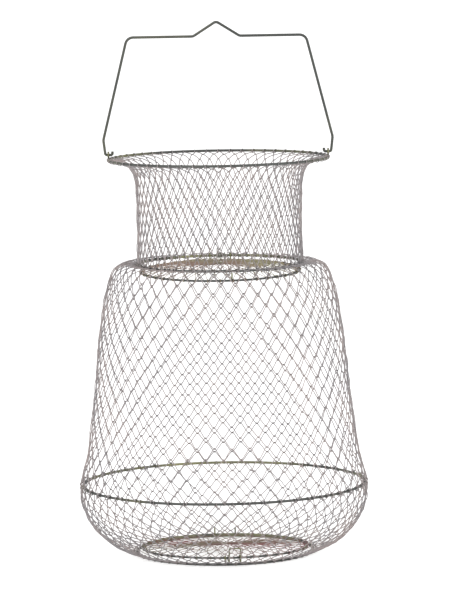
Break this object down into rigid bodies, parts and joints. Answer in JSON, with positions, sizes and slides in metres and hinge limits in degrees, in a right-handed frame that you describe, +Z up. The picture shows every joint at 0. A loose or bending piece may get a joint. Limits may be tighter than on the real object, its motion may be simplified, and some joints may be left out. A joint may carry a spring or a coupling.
{
  "type": "folding wire trap",
  "caption": "Folding wire-mesh trap with a flared mouth, a sprung neck trapdoor, a hinged base door and a bail handle.",
  "frame": {"origin": "on the floor under the centre of the base ring", "axes": "+Z up through the rings to the handle, +X along the handle, both doors hinged at +Y"},
  "size_m": [0.3308, 0.3308, 0.6093],
  "materials": {
    "steel": "round steel wire with a dull olive zinc finish",
    "netting": "fine knitted steel wire, grey with a brown tint",
    "spring_steel": "bare spring wire"
  },
  "bodies": {
    "base": {"base_ring": "steel", "base_netting_3": "netting", "base_door_stop": "steel"},
    "base_course": {"base_netting_2": "netting"},
    "belly": {"belly_ring": "steel", "base_netting_1": "netting", "body_netting_7": "netting"},
    "body_course_6": {"body_netting_6": "netting"},
    "body_course_5": {"body_netting_5": "netting"},
    "body_course_4": {"body_netting_4": "netting"},
    "body_course_3": {"body_netting_3": "netting"},
    "body_course_2": {"body_netting_2": "netting"},
    "neck": {"neck_ring": "steel", "body_netting_1": "netting", "neck_netting_4": "netting", "neck_door_spring": "spring_steel", "neck_door_stop": "steel"},
    "neck_course_3": {"neck_netting_3": "netting"},
    "neck_course_2": {"neck_netting_2": "netting"},
    "mouth": {"mouth_ring": "steel", "neck_netting_1": "netting", "handle_eye_left": "steel", "handle_eye_right": "steel"},
    "handle": {"handle": "steel"},
    "neck_door": {"neck_door_ring": "steel", "neck_door_net": "netting", "neck_door_hook_left": "steel", "neck_door_hook_right": "steel", "neck_door_spring_leg": "spring_steel"},
    "base_door": {"base_door_ring": "steel", "base_door_net": "netting", "base_door_hook_left": "steel", "base_door_hook_right": "steel"},
    "base_latch": {"base_latch": "steel"}
  },
  "joints": [
    {"name": "base_fold", "type": "slide", "parent": "base", "child": "belly", "axis": [0, 0, 1], "range_m": [-0.05, 0]},
    {"name": "base_course_slide", "type": "slide", "parent": "base", "child": "base_course", "axis": [0, 0, 1], "range_m": [-0.0255, 0]},
    {"name": "body_fold", "type": "slide", "parent": "belly", "child": "neck", "axis": [0, 0, 1], "range_m": [-0.216, 0]},
    {"name": "body_course_6_slide", "type": "slide", "parent": "belly", "child": "body_course_6", "axis": [0, 0, 1], "range_m": [-0.0365, 0]},
    {"name": "body_course_5_slide", "type": "slide", "parent": "belly", "child": "body_course_5", "axis": [0, 0, 1], "range_m": [-0.0725, 0]},
    {"name": "body_course_4_slide", "type": "slide", "parent": "belly", "child": "body_course_4", "axis": [0, 0, 1], "range_m": [-0.1085, 0]},
    {"name": "body_course_3_slide", "type": "slide", "parent": "belly", "child": "body_course_3", "axis": [0, 0, 1], "range_m": [-0.1445, 0]},
    {"name": "body_course_2_slide", "type": "slide", "parent": "belly", "child": "body_course_2", "axis": [0, 0, 1], "range_m": [-0.1805, 0]},
    {"name": "neck_fold", "type": "slide", "parent": "neck", "child": "mouth", "axis": [0, 0, 1], "range_m": [-0.075, 0]},
    {"name": "neck_course_3_slide", "type": "slide", "parent": "neck", "child": "neck_course_3", "axis": [0, 0, 1], "range_m": [-0.0255, 0]},
    {"name": "neck_course_2_slide", "type": "slide", "parent": "neck", "child": "neck_course_2", "axis": [0, 0, 1], "range_m": [-0.0505, 0]},
    {"name": "handle_swing", "type": "hinge", "parent": "mouth", "child": "handle", "pos_m": [0, 0, 0.4599], "axis": [1, 0, 0], "range_deg": [-93, 93]},
    {"name": "neck_door_hinge", "type": "hinge", "parent": "neck", "child": "neck_door", "pos_m": [0, 0.09373, 0.3335], "axis": [1, 0, 0], "range_deg": [0, 80], "stiffness_Nm_per_rad": 0.05, "springref_deg": -91.67},
    {"name": "base_door_hinge", "type": "hinge", "parent": "base", "child": "base_door", "pos_m": [0, 0.10079, 0.0015], "axis": [1, 0, 0], "range_deg": [0, 100]},
    {"name": "latch_swing", "type": "hinge", "parent": "base_door", "child": "base_latch", "pos_m": [0.00988, -0.09391, 0.0074], "axis": [-0.9945, -0.1045, 0.0018], "range_deg": [0, 95]}
  ],
  "couplings": [
    {"joint": "base_course_slide", "follows": "base_fold", "ratio": 0.5},
    {"joint": "body_course_6_slide", "follows": "body_fold", "ratio": 0.16667},
    {"joint": "body_course_5_slide", "follows": "body_fold", "ratio": 0.33333},
    {"joint": "body_course_4_slide", "follows": "body_fold", "ratio": 0.5},
    {"joint": "body_course_3_slide", "follows": "body_fold", "ratio": 0.66667},
    {"joint": "body_course_2_slide", "follows": "body_fold", "ratio": 0.83333},
    {"joint": "neck_course_3_slide", "follows": "neck_fold", "ratio": 0.33333},
    {"joint": "neck_course_2_slide", "follows": "neck_fold", "ratio": 0.66667}
  ]
}
